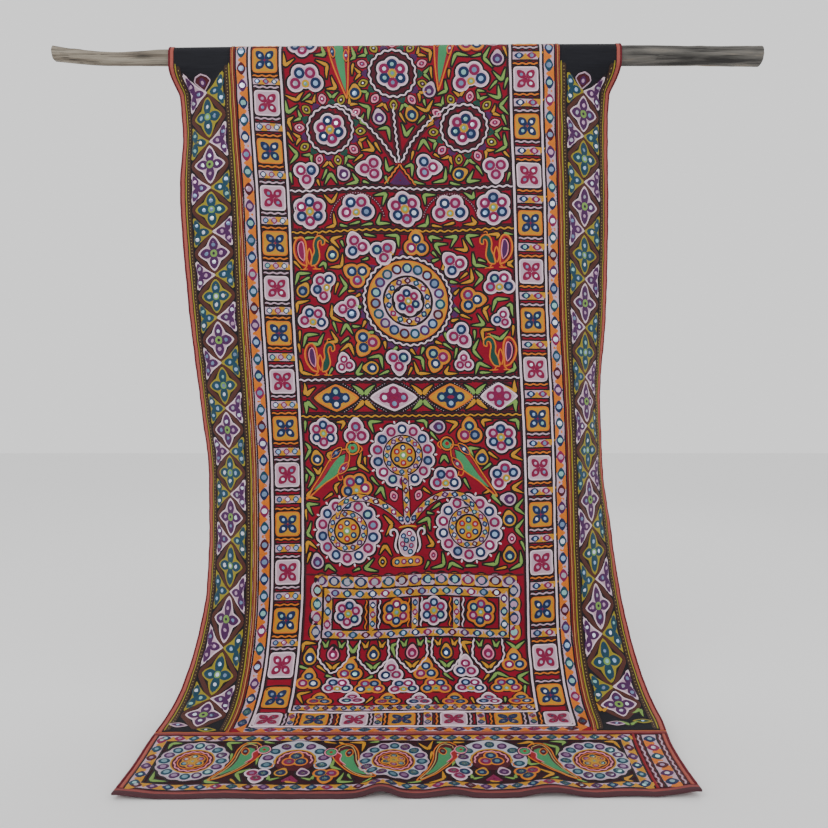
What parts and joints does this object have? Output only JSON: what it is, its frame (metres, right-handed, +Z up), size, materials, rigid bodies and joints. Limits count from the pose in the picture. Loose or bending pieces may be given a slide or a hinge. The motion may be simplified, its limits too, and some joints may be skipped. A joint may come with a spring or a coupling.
{
  "type": "mirror work wall hanging on a wooden pole",
  "caption": "Long mirror-embroidered textile with dark lattice borders, draped over a rough wooden pole, its foot run out on the floor.",
  "frame": {"origin": "on the floor, under the middle of the whole", "axes": "+X along the pole, +Z up, the embroidered face looks towards -Y"},
  "size_m": [1.418, 0.4652, 1.3183],
  "materials": {
    "wood": "weathered bark and bare grey wood",
    "red_cotton": "crimson cotton, plain weave",
    "black_cotton": "black cotton, plain weave",
    "maroon_cotton": "maroon cotton, plain weave",
    "braid": "woven orange and pink braid",
    "tape": "rust and maroon binding tape",
    "thread": "soft cotton and silk embroidery thread",
    "shisha": "small hand-cut mirror discs"
  },
  "bodies": {
    "root": {"pole": "wood", "field_panel": "red_cotton", "border_left": "black_cotton", "border_right": "black_cotton", "braid_left": "braid", "braid_right": "braid", "cross_braid": "braid", "binding_left": "tape", "binding_right": "tape", "foot_band": "maroon_cotton", "foot_end_strip": "maroon_cotton", "foot_piping": "tape", "foot_tape_left": "tape", "foot_tape_right": "tape", "hem_tape": "tape"}
  },
  "joints": []
}
